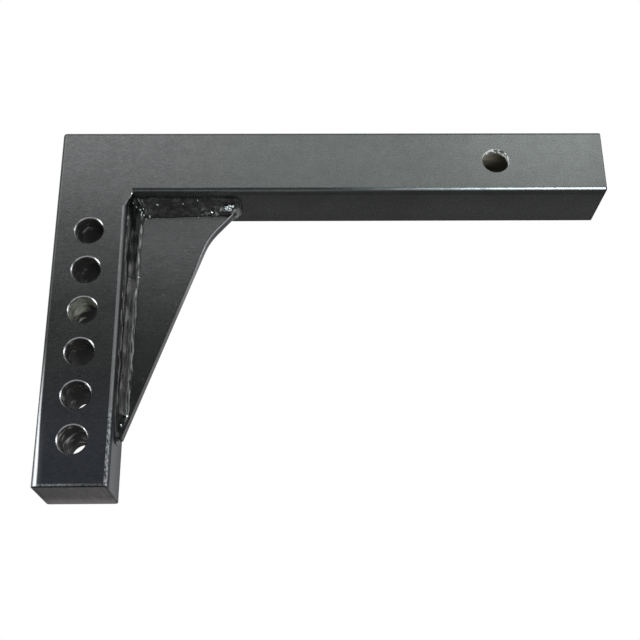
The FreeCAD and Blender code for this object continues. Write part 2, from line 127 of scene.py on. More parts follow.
# %% Shader helper
class Finish:
    """A material with one Principled shader, and short ways to add and join nodes."""

    def __init__(self, name):
        self.material = bpy.data.materials.new(name)
        self.material.use_nodes = True
        self.tree = self.material.node_tree
        self.tree.nodes.clear()
        output = self.tree.nodes.new("ShaderNodeOutputMaterial")
        self.shader = self.tree.nodes.new("ShaderNodeBsdfPrincipled")
        self.tree.links.new(self.shader.outputs["BSDF"], output.inputs["Surface"])
        self.place = self.add("ShaderNodeTexCoord").outputs["Object"]
        apart = self.add("ShaderNodeSeparateXYZ", {"Vector": self.place})
        self.x, self.y, self.z = (apart.outputs[axis] for axis in "XYZ")
        self.depth = self.math("ABSOLUTE", self.y)

    def join(self, node, sockets):
        """Joins outputs to a node's sockets, or writes plain values on them."""
        for socket, value in sockets.items():
            if isinstance(value, bpy.types.NodeSocket):
                self.tree.links.new(value, node.inputs[socket])
            else:
                node.inputs[socket].default_value = value

    def add(self, kind, sockets=None, **settings):
        """A new node of that kind, with its settings and what goes on its sockets."""
        node = self.tree.nodes.new(kind)
        for name, value in settings.items():
            setattr(node, name, value)
        self.join(node, sockets or {})
        return node

    def math(self, operation, *values, clamp=False):
        sockets = dict(enumerate(values))
        return self.add("ShaderNodeMath", sockets, operation=operation, use_clamp=clamp).outputs[0]

    def times(self, product, *others):
        """The product of two or more values."""
        for other in others:
            product = self.math("MULTIPLY", product, other)
        return product

    def scaled(self, value, factor, offset, clamp=False):
        """The value times the factor, plus the offset."""
        return self.math("MULTIPLY_ADD", value, factor, offset, clamp=clamp)

    def above(self, value, limit):
        return self.math("GREATER_THAN", value, limit)

    def below(self, value, limit):
        return self.math("LESS_THAN", value, limit)

    def ramp(self, value, low, high, to_low=0.0, to_high=1.0):
        """Runs smoothly from to_low to to_high while the value goes from low to high."""
        sockets = {0: value, 1: low, 2: high, 3: to_low, 4: to_high}
        node = self.add("ShaderNodeMapRange", sockets, interpolation_type="SMOOTHSTEP")
        return node.outputs[0]

    def noise(self, size, stretch=(1, 1, 1), detail=2, shift=0):
        """Noise from about 0 to 1, with lumps of that size in mm, drawn out by stretch."""
        scale = tuple(1 / (size * MM * factor) for factor in stretch)
        sockets = {"Vector": self.place, "Scale": scale, "Location": (shift, shift, shift)}
        mapped = self.add("ShaderNodeMapping", sockets).outputs[0]
        sockets = {"Vector": mapped, "Scale": 1.0, "Detail": detail}
        return self.add("ShaderNodeTexNoise", sockets).outputs[0]

    def mix(self, share, first, second):
        """A colour that goes from the first to the second as share goes from 0 to 1."""
        sockets = {0: share, 6: first, 7: second}
        return self.add("ShaderNodeMix", sockets, data_type="RGBA").outputs[2]

    def blend(self, share, first, second):
        """A number that goes from the first to the second as share goes from 0 to 1."""
        sockets = {0: share, 2: first, 3: second}
        return self.add("ShaderNodeMix", sockets, data_type="FLOAT").outputs[0]

    def bump(self, height, distance, below=None):
        """A bump of that height in metres, laid over another bump if one is given."""
        sockets = {"Height": height, "Distance": distance, "Strength": 1.0}
        if below is not None:
            sockets["Normal"] = below
        return self.add("ShaderNodeBump", sockets).outputs[0]

    def wear(self, look, *normal):
        """The finished material. A look is a colour, a roughness and a metallic share."""
        names = ("Base Color", "Roughness", "Metallic", "Normal")
        self.join(self.shader, dict(zip(names, (*look, *normal))))
        return self.material


def paint_node(name, material):
    """Gives a CAD node its only material."""
    nodes[name].data.materials.clear()
    nodes[name].data.materials.append(material)
    print(name, "wears", material.name)


# %% [markdown]
# ## Black satin paint
#
# Close up, sprayed paint has a fine orange peel over the level lines and slow waves of the rolled
# steel. It isn't one even black, and dust lies on it as tiny pale specks. Its gloss is uneven, in
# short level streaks, and has a tint: a little blue on the leg, a little green on the bar.

# %% Paint recipe
PAINT_DARK = (0.0016, 0.0019, 0.0018, 1)
PAINT_LIGHT = (0.0042, 0.0048, 0.0045, 1)
DUST = (0.085, 0.085, 0.08, 1)
BEAD_DARK = (0.0010, 0.0012, 0.0012, 1)
GREENISH = (0.89, 1.0, 0.96, 1)
BLUISH = (0.965, 0.98, 1.0, 1)
PAINT_SPECULAR = 0.17
PAINT_SMOOTHEST = 0.145
PAINT_COAT = {"Coat Weight": 0.06, "Coat Roughness": 0.14}
WAVES = 0.035 * MM
ROLLED_LINES = 0.02 * MM
PEEL = 0.022 * MM
MOTTLE = 0.5


def lay_paint(finish, tint, specular=PAINT_SPECULAR, smoothest=PAINT_SMOOTHEST, peel=PEEL, mottle=MOTTLE):
    """The look and the normal of the paint, whose gloss has the given tint.

    Gloss: the specular level, more or less by the share mottle. Colour: a slow cloud between
    two blacks, plus dust where a very fine noise peaks. Roughness: the smoothest value, plus a
    fine grain and slower blotches. Normal: the grain's peel over rolled lines over waves."""
    streaks = finish.noise(1.3, (2.2, 1, 1), detail=3, shift=29)
    uneven = finish.scaled(finish.scaled(streaks, 2, -1), mottle, 1)
    gloss = {"Specular IOR Level": finish.times(specular, uneven), "Specular Tint": tint}
    finish.join(finish.shader, {**gloss, **PAINT_COAT})
    cloud = finish.ramp(finish.noise(45, detail=3), 0.35, 0.65)
    specks = finish.ramp(finish.noise(0.9, detail=1, shift=7), 0.735, 0.78)
    dusty = finish.ramp(finish.noise(30, shift=11), 0.42, 0.62)
    colour = finish.mix(finish.times(specks, dusty), finish.mix(cloud, PAINT_DARK, PAINT_LIGHT), DUST)
    grain = finish.noise(1.1, shift=3)
    blotches = finish.noise(9, detail=4, shift=23)
    rough = finish.scaled(grain, 0.14, smoothest)
    rough = finish.scaled(blotches, 0.11, rough)
    waves = finish.bump(finish.noise(22, detail=1, shift=5), WAVES)
    lines = finish.bump(finish.noise(0.9, (14, 14, 1), shift=25), ROLLED_LINES, waves)
    return (colour, rough, 0.0), finish.bump(grain, peel, lines)


print("paint coat:", PAINT_COAT)

# %% [markdown]
# ## Masks
#
# Bare steel, wear, painted highlight and painted shade lie on the CAD solids, so a finish has to
# find them by place. A mask is 1 in its place and 0 elsewhere: inside a radius from a hole's axis,
# between two heights, or on the rounded edge beside the front face. The product of two masks is
# where both hold, and a share of a mask lets the look below show through.
#
# A rolled edge has no sharp end: beside the rounding the side still bends a little. A bump on the
# side does that, and gives the dark line next to the bright edge.


# %% Mask helpers
def inside_radius(finish, across, up, radius, skin=0.25 * MM):
    """1 within a radius of an axis along Y, and 0 outside it."""
    squares = finish.math("ADD", finish.times(across, across), finish.times(up, up))
    return finish.below(finish.math("SQRT", squares), radius + skin)


def between(finish, value, low, high):
    """1 where the value is between two numbers."""
    above = finish.above(value, low)
    return finish.times(above, finish.below(value, high))


def edge_band(finish, across, half):
    """1 on the rounded edge between a side face, at half across, and the front or rear face."""
    on_side = finish.above(across, half - EDGE_ROUND)
    on_front = finish.above(finish.depth, HALF_DEPTH - EDGE_ROUND)
    patchy = finish.ramp(finish.noise(9, shift=21), 0.3, 0.5, 0.8, 1.0)
    return finish.times(on_side, on_front, patchy)


def lay_over(finish, look, *layers):
    """The look with each layer's own look where that layer's mask is 1, one after the other."""
    for mask, top in layers:
        colour = finish.mix(mask, look[0], top[0])
        look = (colour, finish.blend(mask, look[1], top[1]), finish.blend(mask, look[2], top[2]))
    return look


def soft_front_edge(finish, starts, ends, fall, below, where):
    """A bump of that fall on a side face, between two distances behind the front face.

    Towards the rear its height goes back to zero so slowly that it can't be seen."""
    behind = finish.math("ADD", finish.y, HALF_DEPTH)
    back = finish.ramp(behind, 2 * HALF_DEPTH - EDGE_ROUND, ends + EDGE_ROUND)
    return finish.bump(finish.times(finish.ramp(behind, starts, ends), back, where), fall, below)


# %% [markdown]
# ## Bare and rubbed steel
#
# The bolt holes were drilled and only caught a little paint. Their walls are grey steel with the
# drill's fine rings, stained unevenly from hole to hole. On edges the paint is rubbed thin, and some
# bright metal on edges is a painted highlight. Narrow shadow lines are painted shade: a deep black
# look that takes no reflection.

# %% Bare steel recipe
STEEL_CLEAN = (0.48, 0.50, 0.42, 1)
STEEL_GREY = (0.47, 0.47, 0.47, 1)
STEEL_STAIN = (0.011, 0.0104, 0.0096, 1)
WORN_PAINT = ((0.165, 0.17, 0.175, 1), 0.26, 1.0)
# Metal of the bar's rubbed lower edges, which also carries a painted highlight.
RUBBED_BAR_AND_HIGHLIGHT = ((0.22, 0.26, 0.27, 1), 0.25, 1.0)
RUBBED_LEG = ((0.57, 0.60, 0.62, 1), 0.3, 1.0)
# A near-white metal for the painted highlight beside the leg's left edge.
LEG_PAINTED_HIGHLIGHT = ((0.93, 0.96, 1.0, 1), 0.3, 1.0)
# Painted shade: a black metal look that reflects nothing, for narrow shadow lines.
PAINTED_SHADE_BLACK = ((0.008, 0.009, 0.010, 1), 0.5, 1.0)
STAINED_ROUGHNESS = 0.72
BARE_ROUGHNESS = 0.3
BARE_METALLIC = 0.95


def drill_rings(finish):
    """Fine grooves round a hole's axis, as a height from about 0 to 1."""
    return finish.noise(0.7, (10, 1, 10), detail=3, shift=1)


def drilled_steel(finish, cleaner, clean, rings):
    """A drilled wall, from stained with paint and oil at cleaner 0 to the clean colour at 1."""
    stains = finish.noise(8, (1, 0.8, 1), detail=4, shift=9)
    bare = finish.scaled(rings, 0.25, finish.scaled(cleaner, 0.24, stains))
    bare = finish.ramp(bare, 0.73, 1.0)
    shade = finish.times(bare, finish.scaled(rings, 1.2, 0.2))
    colour = finish.mix(finish.math("MINIMUM", shade, 1.0), STEEL_STAIN, clean)
    rough = finish.blend(bare, STAINED_ROUGHNESS, BARE_ROUGHNESS)
    return colour, rough, finish.blend(bare, 0.0, BARE_METALLIC)


# %% [markdown]
# ## The leg's bolt holes
#
# The holes repeat at one pitch, so one folded coordinate covers all six: the height is wrapped
# round the pitch, which puts every hole on the same axis. The third hole is cleaned, most on its
# front left, and the lower ones more than the upper. Every chamfer is worn on its outer part.

# %% Hole masks and hole steel
CLEANED_HOLE_Z = FIRST_HOLE_Z - 2 * HOLE_PITCH
LAST_HOLE_Z = FIRST_HOLE_Z - (HOLE_COUNT - 1) * HOLE_PITCH
CLEANER_FROM_Z = FIRST_HOLE_Z - 1.9 * HOLE_PITCH
CLEANER_LOW = (0.08, 0.5)
PAINTED_RIM = 0.4 * MM


def leg_hole_masks(finish, across):
    """The masks of the holes' walls and of the worn part of their chamfers."""
    drop = finish.math("SUBTRACT", finish.z, FIRST_HOLE_Z)
    folded = finish.math("WRAP", drop, HOLE_PITCH / 2, -HOLE_PITCH / 2)
    in_row = between(finish, finish.z, LAST_HOLE_Z - HOLE_PITCH / 2, FIRST_HOLE_Z + HOLE_PITCH / 2)
    past_chamfer = finish.below(finish.depth, HALF_DEPTH - CHAMFER)
    wall = finish.times(inside_radius(finish, across, folded, HOLE_RADIUS), in_row, past_chamfer)
    off_face = finish.below(finish.depth, HALF_DEPTH - 0.06 * MM)
    chamfer = inside_radius(finish, across, folded, HOLE_RADIUS + CHAMFER, -0.05 * MM)
    inner = inside_radius(finish, across, folded, HOLE_RADIUS, PAINTED_RIM)
    rim = finish.times(chamfer, in_row, off_face, finish.math("SUBTRACT", 1.0, inner))
    return wall, rim


def leg_hole_steel(finish, across, rings):
    """The look of the walls, cleaner in the third hole and towards the foot."""
    cleaned = between(finish, finish.z, CLEANED_HOLE_Z - HOLE_RADIUS, CLEANED_HOLE_Z + HOLE_RADIUS)
    front_left = finish.scaled(across, 0.8, finish.y)
    front_left = finish.ramp(front_left, -HALF_DEPTH, 0.5 * HALF_DEPTH, 1.3, 0.1)
    lower = finish.ramp(finish.z, CLEANER_FROM_Z, leg_low.z, *CLEANER_LOW)
    cleaner = finish.math("MAXIMUM", finish.times(cleaned, front_left), lower)
    return drilled_steel(finish, cleaner, finish.mix(cleaned, STEEL_GREY, STEEL_CLEAN), rings)


print("bolt holes from", round(FIRST_HOLE_Z, 4), "down to", round(LAST_HOLE_Z, 4))

# %% [markdown]
# ## The leg's edges and foot
#
# The right edge is rubbed all the way, and chipped near the foot. Beside the left edge a painted
# highlight, a bright metal line in a faint painted glow, gets stronger and wider towards the foot.
# The foot is sawn off: the saw's streaks show in its paint, its front edge keeps crumbs of a burr,
# and a thin line of painted shade parts it from the face.

# %% Leg edges and foot
RIGHT_RUB = 0.08
CHIPS_FROM_Z = (-190 * MM, -205 * MM)
NEAR_FOOT_Z = -190 * MM
# The painted highlight beside the left edge, and its painted glow.
LEFT_HIGHLIGHT_LINE = 1.9 * MM
LEFT_HIGHLIGHT_REACH = 1.0 * MM
LEFT_HIGHLIGHT_FROM_Z = (-145 * MM, -240 * MM)
LEFT_PAINTED_GLOW = 0.03
LEFT_PAINTED_GLOW_REACH = 8 * MM
SAW_GREY = (0.041, 0.035, 0.038, 1)
SAW_PALE = (0.097, 0.088, 0.091, 1)
SAWN_ROUGHNESS = 0.6
BURR = 1.5 * MM
# Height of the thin line of painted shade at the foot.
FOOT_SHADE_LINE = 0.9 * MM


def right_edge_rub(finish, across):
    worn = finish.ramp(finish.z, -20 * MM, -200 * MM, RIGHT_RUB / 2, RIGHT_RUB)
    chips = finish.ramp(finish.noise(1.5, shift=35), 0.38, 0.6, 0.15, 2.2)
    chips = finish.blend(finish.ramp(finish.z, *CHIPS_FROM_Z), 1.0, chips)
    return finish.times(edge_band(finish, across, LEG_HALF), worn, chips)


def left_edge_painted_highlight(finish, across):
    """Painted highlight: a soft-sided line, 1 - |distance from its middle| / reach, in a faint painted
    glow.
    """
    near_foot = finish.ramp(finish.z, NEAR_FOOT_Z, leg_low.z)
    from_left = finish.math("ADD", across, LEG_HALF)
    middle = finish.scaled(near_foot, 1.0 * MM, LEFT_HIGHLIGHT_LINE)
    reach = finish.scaled(near_foot, 0.6 * MM, LEFT_HIGHLIGHT_REACH)
    off_line = finish.math("ABSOLUTE", finish.math("SUBTRACT", from_left, middle))
    line = finish.math("SUBTRACT", 1.0, finish.math("DIVIDE", off_line, reach), clamp=True)
    line = finish.times(line, finish.ramp(finish.z, *LEFT_HIGHLIGHT_FROM_Z, 0.03, 0.9))
    glow = finish.ramp(from_left, LEFT_HIGHLIGHT_LINE, LEFT_PAINTED_GLOW_REACH, LEFT_PAINTED_GLOW, 0.0)
    return finish.math("MAXIMUM", line, finish.times(glow, near_foot))


def sawn_colour(finish, streaks):
    """Grey in the saw's streaks, more to the right, and paler to the rear."""
    to_right = finish.ramp(finish.x, leg_low.x, leg_high.x, 0.35, 1.0)
    sawn = finish.mix(finish.times(streaks, to_right), PAINT_LIGHT, SAW_GREY)
    return finish.mix(finish.ramp(finish.y, 0.0, HALF_DEPTH, 0.0, 0.6), sawn, SAW_PALE)


def burr_crumbs(finish, across):
    """Crumbs in a low band of the front edge, stronger to the left."""
    front_edge = finish.below(finish.y, -HALF_DEPTH + BURR)
    low = between(finish, finish.z, leg_low.z + FOOT_SHADE_LINE, leg_low.z + FOOT_SHADE_LINE + BURR)
    crumbs = finish.ramp(finish.noise(1.6, shift=31), 0.3, 0.75, 0.008, 0.09)
    return finish.times(low, front_edge, crumbs, finish.ramp(across, LEG_HALF, -LEG_HALF, 0.7, 2.0))


print("foot at", round(leg_low.z, 4))

# %% [markdown]
# ## The leg's finish
#
# The paint has less gloss in the middle of the leg, a blue cast towards the foot and dull side
# faces. Then the steel, the rubbed places, the painted highlight and the foot with its painted
# shade line are laid over it one by one.

# %% Leg finish
LEG_PEEL = 0.036 * MM
LESS_GLOSS = 0.19
LESS_GLOSS_FROM_Z = (-96 * MM, -120 * MM)
LESS_GLOSS_TO_Z = (-215 * MM, -165 * MM)
FOOT_BLUE = (0.0030, 0.0040, 0.0062, 1)
FOOT_BLUE_FROM_Z = (-150 * MM, -240 * MM)
SIDE_ROUGHNESS = (0.44, 0.60)
DULL_STRIP = 10 * MM
DULL_STRIP_ROUGHNESS = 0.95
LEG_SIDE_BEND = (2.1 * MM, 10.0 * MM, 2.2 * MM)
GROOVES = 0.08 * MM


def leg_paint(finish, side):
    """The paint of the leg's faces, where side is the mask of the two side faces."""
    middle = finish.ramp(finish.z, *LESS_GLOSS_FROM_Z)
    middle = finish.times(middle, finish.ramp(finish.z, *LESS_GLOSS_TO_Z))
    specular = finish.scaled(middle, -LESS_GLOSS * PAINT_SPECULAR, PAINT_SPECULAR)
    (colour, rough, metallic), normal = lay_paint(finish, BLUISH, specular, peel=LEG_PEEL)
    colour = finish.mix(finish.ramp(finish.z, *FOOT_BLUE_FROM_Z), colour, FOOT_BLUE)
    side_rough = finish.ramp(finish.y, -HALF_DEPTH, HALF_DEPTH, *SIDE_ROUGHNESS)
    strip = finish.ramp(finish.y, -HALF_DEPTH + DULL_STRIP, -HALF_DEPTH + 0.7 * DULL_STRIP)
    side_rough = finish.blend(strip, side_rough, DULL_STRIP_ROUGHNESS)
    return (colour, finish.blend(side, rough, side_rough), metallic), normal


def make_leg_finish():
    finish = Finish("leg_black_paint")
    across = finish.math("SUBTRACT", finish.x, LEG_MIDDLE_X)
    side = finish.above(finish.math("ABSOLUTE", across), LEG_HALF - 0.1 * MM)
    look, normal = leg_paint(finish, side)
    rings = drill_rings(finish)
    hole_wall, hole_rim = leg_hole_masks(finish, across)
    look = lay_over(
        finish,
        look,
        (hole_wall, leg_hole_steel(finish, across, rings)),
        (right_edge_rub(finish, across), RUBBED_LEG),
        # Beside the left edge: a painted highlight.
        (left_edge_painted_highlight(finish, across), LEG_PAINTED_HIGHLIGHT),
        (hole_rim, WORN_PAINT),
    )
    foot = finish.below(finish.z, leg_low.z + 0.15 * MM)
    streaks = finish.noise(1.6, (1, 9, 1), detail=3, shift=2)
    streaks = finish.scaled(streaks, 2.2, -0.6, clamp=True)
    sawn = (sawn_colour(finish, streaks), SAWN_ROUGHNESS, look[2])
    burr = (burr_crumbs(finish, across), RUBBED_LEG)
    # A thin black line of painted shade at the foot.
    foot_shade_line = between(finish, finish.z, leg_low.z + 0.05 * MM, leg_low.z + FOOT_SHADE_LINE)
    look = lay_over(finish, look, (foot, sawn), burr, (foot_shade_line, PAINTED_SHADE_BLACK))
    height = finish.math("ADD", finish.times(rings, hole_wall), finish.times(streaks, foot))
    bent = soft_front_edge(finish, *LEG_SIDE_BEND, normal, side)
    return finish.wear(look, finish.bump(height, GROOVES, bent))


paint_node("adjustment_leg", make_leg_finish())

# %% [markdown]
# ## The receiver bar
#
# Outside it is the same paint, with less gloss on the underside. The lower edges are rubbed and
# carry a painted highlight that grows towards the open end. The wall of the pin hole shows bare
# metal with burrs, whose near-white parts are partly a painted highlight. The inside keeps its
# mill scale, which is dark and dull, with a pale pool of painted light behind the pin hole. It is
# every point nearer to the middle line than the inner walls.

# %% Bar finish
UNDER_SPECULAR = 0.135
END_LINE = 1.0 * MM
GREEN_FROM_X = (-260 * MM, -160 * MM)
BAR_MOTTLE = (0.4, 0.1)
DUSTY_CORNER = (0.013, 0.0135, 0.014, 1)
# The lower edges' rub also carries a painted highlight, brighter towards the open end.
RUB_HIGHLIGHT_SHORT_OF = 0.5 * MM
RUB_HIGHLIGHT_END = 1.4 * MM
RUB_AND_HIGHLIGHT_FROM_X = (-140 * MM, 30 * MM)
FAINT_HIGHLIGHT_FROM_X = (-40 * MM, -160 * MM)
# Bare steel of the pin hole wall; its near-white burrs are partly a painted highlight.
BARE_WALL_AND_HIGHLIGHT = (0.95, 0.98, 0.95, 1)
SCALE_DARK = (0.05, 0.047, 0.038, 1)
SCALE_PALE = (0.15, 0.143, 0.115, 1)
# A pale pool of painted light on the mill scale, where one looks in through the pin hole.
SCALE_PAINTED_LIGHT = (0.85, 0.82, 0.66, 1)
SCALE_ROUGHNESS = 0.62
UNDERSIDE_BEND = (2.1 * MM, 8.0 * MM, 1.2 * MM)
PIN_HOLE_GROOVES = 0.05 * MM


def bar_paint(finish, underside):
    """The bar's paint: bluish at the leg, then greenish, and with less gloss underneath."""
    at_end = finish.above(finish.x, bar_high.x - END_LINE)
    specular = finish.blend(underside, PAINT_SPECULAR, UNDER_SPECULAR)
    specular = finish.blend(finish.times(underside, at_end), specular, 0.0)
    green = finish.times(finish.ramp(finish.x, *GREEN_FROM_X), finish.math("SUBTRACT", 1.0, underside))
    mottle = finish.ramp(finish.x, *GREEN_FROM_X, *BAR_MOTTLE)
    return lay_paint(finish, finish.mix(green, BLUISH, GREENISH), specular, mottle=mottle)


def bar_edge_rub_and_highlight(finish):
    """The rubbed lower edges with a painted highlight, stronger to the open end, and a faint one by the
    plate.
    """
    worn = edge_band(finish, finish.times(finish.z, -1.0), bar_high.z)
    above = finish.above(finish.z, bar_low.z + RUB_HIGHLIGHT_SHORT_OF)
    before_end = finish.below(finish.x, bar_high.x - RUB_HIGHLIGHT_END)
    bright = finish.times(worn, above, before_end, finish.ramp(finish.x, *RUB_AND_HIGHLIGHT_FROM_X, 0.02, 1.0))
    low_line = between(finish, finish.z, bar_low.z + 0.1 * MM, bar_low.z + 0.9 * MM)
    faint = finish.times(worn, low_line, finish.ramp(finish.x, *FAINT_HIGHLIGHT_FROM_X, 0.0, 0.14))
    return finish.math("MAXIMUM", bright, faint)


def mill_scale_and_painted_light(finish):
    """The look of the tube's inside, with a streaky pale patch of painted light behind the pin hole."""
    scale = finish.mix(finish.noise(9, detail=4, shift=13), SCALE_DARK, SCALE_PALE)
    short_of_end = finish.ramp(finish.x, 15 * MM, -5 * MM)
    off_rear = finish.ramp(finish.y, 17 * MM, 0.0, 0.0, 0.85)
    past_start = finish.ramp(finish.x, -30 * MM, -12 * MM)
    streaky = finish.ramp(finish.noise(2.2, (4, 1, 1), detail=3, shift=14), 0.35, 0.7, 0.45, 1.0)
    painted_light = finish.times(short_of_end, off_rear, past_start, streaky)
    return finish.mix(painted_light, scale, SCALE_PAINTED_LIGHT), SCALE_ROUGHNESS, 0.0


def make_bar_finish():
    finish = Finish("bar_black_paint")
    underside = finish.below(finish.z, bar_low.z + 0.25 * MM)
    look, normal = bar_paint(finish, underside)
    in_hole = inside_radius(finish, finish.x, finish.z, PIN_HOLE_RADIUS)
    in_wall = finish.below(finish.depth, HALF_DEPTH - 0.1 * MM)
    burrs = finish.ramp(finish.noise(3.2, detail=3, shift=15), 0.42, 0.56, 0.12, 1.0)
    # The pin hole wall: bare metal with burrs, partly a painted highlight.
    bare_wall_and_highlight = (finish.mix(burrs, STEEL_STAIN, BARE_WALL_AND_HIGHLIGHT), 0.5, 0.35)
    wall = finish.times(in_hole, in_wall)
    # The rubbed lower edges are partly real wear and partly a painted highlight.
    look = lay_over(finish, look, (wall, bare_wall_and_highlight), (bar_edge_rub_and_highlight(finish), RUBBED_BAR_AND_HIGHLIGHT))
    by_plate = finish.ramp(finish.x, plate_high.x + 2 * MM, plate_high.x - 14 * MM)
    dusty = (finish.times(underside, by_plate), (DUSTY_CORNER, *look[1:]))
    from_middle = finish.math("MAXIMUM", finish.depth, finish.math("ABSOLUTE", finish.z))
    in_bore = finish.below(from_middle, BAR_BORE_HALF + 0.2 * MM)
    # The bore's mill scale, with a patch of painted light behind the pin hole.
    look = lay_over(finish, look, dusty, (in_bore, mill_scale_and_painted_light(finish)))
    rings = finish.times(drill_rings(finish), in_hole)
    bent = soft_front_edge(finish, *UNDERSIDE_BEND, normal, underside)
    return finish.wear(look, finish.bump(rings, PIN_HOLE_GROOVES, bent))


paint_node("receiver_bar", make_bar_finish())

# %% [markdown]
# ## The gusset plate and the ground seam
#
# The plate is flame or laser cut, so its edge has fine lines across the thickness under the
# paint. Near the nose the edge is darkened with painted shade, between rims that are rubbed and
# carry a painted highlight, and weld metal covers it at the foot. The plate's gloss is highest a
# quarter of the way down. The seam round the bar's end was ground flush: its paint lies on the
# grinder's fine scratches and is otherwise the same.

# %% Plate and seam finishes
PLATE_GLOSS_ABOVE = (-34 * MM, -66 * MM, 0.62, 1.0)
PLATE_GLOSS_BELOW = (-80 * MM, -155 * MM, 0.2048, 0.0976)
PLATE_SMOOTHEST = 0.115
PLATE_PEEL = 0.04 * MM
LOW_EDGE_GLOSS = 0.04
LOW_EDGE_FROM_Z = (-85 * MM, -120 * MM)
NOSE_FROM_Z = (BAR_UNDER_Z - 62 * MM, BAR_UNDER_Z - 34 * MM)
# Near the nose: painted shade on the edge, and a painted highlight on its rubbed rims.
NOSE_PAINTED_SHADE = 0.85
RIM_RUB_AND_HIGHLIGHT = 0.35
WELDED_TIP = 14 * MM
CLOT_PALE = (0.035, 0.033, 0.038, 1)


def make_plate_finish():
    finish = Finish("plate_black_paint")
    edge = finish.below(finish.depth, PLATE_HALF - 0.5 * MM)
    gloss = finish.ramp(finish.z, *PLATE_GLOSS_ABOVE)
    gloss = finish.times(gloss, finish.ramp(finish.z, *PLATE_GLOSS_BELOW))
    low_edge = finish.times(edge, finish.ramp(finish.z, *LOW_EDGE_FROM_Z))
    gloss = finish.blend(low_edge, gloss, LOW_EDGE_GLOSS)
    look, normal = lay_paint(finish, BLUISH, gloss, PLATE_SMOOTHEST, PLATE_PEEL)
    nose = finish.ramp(finish.z, *NOSE_FROM_Z)
    rim = between(finish, finish.depth, PLATE_HALF - 1.5 * MM, PLATE_HALF - 0.1 * MM)
    tip = finish.times(finish.below(finish.z, plate_low.z + WELDED_TIP), edge)
    clots = finish.ramp(finish.noise(1.8, detail=3, shift=33), 0.4, 0.65)
    look = lay_over(
        finish,
        look,
        # Painted shade on the edge near the nose, then the rims' rub and painted highlight.
        (finish.times(edge, nose, NOSE_PAINTED_SHADE), PAINTED_SHADE_BLACK),
        (finish.times(rim, nose, RIM_RUB_AND_HIGHLIGHT), RUBBED_LEG),
        (tip, (finish.mix(clots, BEAD_DARK, CLOT_PALE), 0.45, 0.75)),
    )
    cut_lines = finish.noise(0.7, (1, 30, 1), shift=4)
    return finish.wear(look, finish.bump(finish.times(cut_lines, edge), 0.10 * MM, normal))


def make_seam_finish():
    finish = Finish("ground_weld_paint")
    look, normal = lay_paint(finish, BLUISH)
    scratches = finish.noise(0.8, (1, 1, 12), shift=6)
    return finish.wear(look, finish.bump(scratches, 0.02 * MM, normal))


seam_finish = make_seam_finish()
paint_node("gusset_plate", make_plate_finish())
paint_node("seam_weld", seam_finish)

# %% [markdown]
# ## Paint on rough weld metal
#
# Paint runs off the crests of a bead and gathers in its valleys, so a bead looks nearly black
# with small bright glints. The bar's bead turns chalky towards the plate's nose, and the leg's
# has pale threads along its toe on the plate. Where a bead was ground flush, its edge is rubbed.

# %% Bead finish
BEAD_LIGHT = (0.0130, 0.0136, 0.0134, 1)
BEAD_CHALK = (0.13, 0.14, 0.14, 1)
BEAD_TOE = (0.062, 0.066, 0.066, 1)
BEAD_COAT_ROUGHNESS = 0.1
STRANDS = 0.36 * MM
BEAD_GRIT = 0.08 * MM
LEG_TOE = (10.6 * MM, 8.0 * MM)
GROUND_RIM = 1.6 * MM
GROUND_RUB = 0.12
SPATTER = ((0.32, 0.36, 0.36, 1), 0.22, 1.0)


def leg_toe(finish):
    """1 near the toe of the leg's bead on the plate, which leans a little towards the leg."""
    down = finish.math("DIVIDE", finish.math("SUBTRACT", BAR_UNDER_Z, finish.z), PLATE_DROP)
    toe = finish.scaled(down, LEG_TOE[1] - LEG_TOE[0], LEG_FACE_X + LEG_TOE[0])
    return finish.ramp(finish.math("SUBTRACT", toe, finish.x), 2.8 * MM, 1.0 * MM)


def chalky_nose(finish):
    """Chalky spots towards the plate's nose, and chalk all over the turn past its end."""
    spots = finish.ramp(finish.noise(2.4, shift=19), 0.5, 0.66)
    past_end = finish.ramp(finish.x, plate_high.x + 0.5 * MM, plate_high.x + 2 * MM)
    by_nose = finish.ramp(finish.x, plate_high.x - 36 * MM, plate_high.x - 14 * MM, 0.0, 0.8)
    off_bar = finish.ramp(finish.z, BAR_UNDER_Z - 3 * MM, BAR_UNDER_Z - 7 * MM)
    return finish.times(finish.math("MAXIMUM", spots, past_end), by_nose, off_bar)


def make_bead_finish(name, stretch, smoothest, specular, coat, toe=None):
    """Stringy paint, whose strands are drawn out along the bead's travel by the stretch."""
    finish = Finish(name)
    gloss = {"Specular IOR Level": specular, "Coat Weight": coat, "Coat Roughness": BEAD_COAT_ROUGHNESS}
    finish.join(finish.shader, gloss)
    cloud = finish.ramp(finish.noise(3, stretch, detail=3), 0.4, 0.7)
    colour = finish.mix(cloud, BEAD_DARK, BEAD_LIGHT)
    colour = finish.mix(chalky_nose(finish), colour, BEAD_CHALK)
    if toe is not None:
        thread = finish.ramp(finish.noise(1.3, (1, 1, 6), detail=3, shift=27), 0.42, 0.6)
        colour = finish.mix(finish.times(thread, toe(finish)), colour, BEAD_TOE)
    grit = finish.noise(0.8, stretch, detail=3, shift=3)
    rough = finish.scaled(grit, 0.2, smoothest)
    at_rim = finish.above(finish.depth, HALF_DEPTH - GROUND_RIM)
    ground = finish.times(at_rim, GROUND_RUB)
    look = lay_over(finish, (colour, rough, 0.0), (ground, RUBBED_LEG))
    strands = finish.bump(finish.noise(1.5, stretch, shift=8), STRANDS)
    return finish.wear(look, finish.bump(grit, BEAD_GRIT, strands))


def make_spatter_finish():
    finish = Finish("bare_spatter")
    return finish.wear(SPATTER, finish.bump(finish.noise(0.8, shift=17), 0.1 * MM))


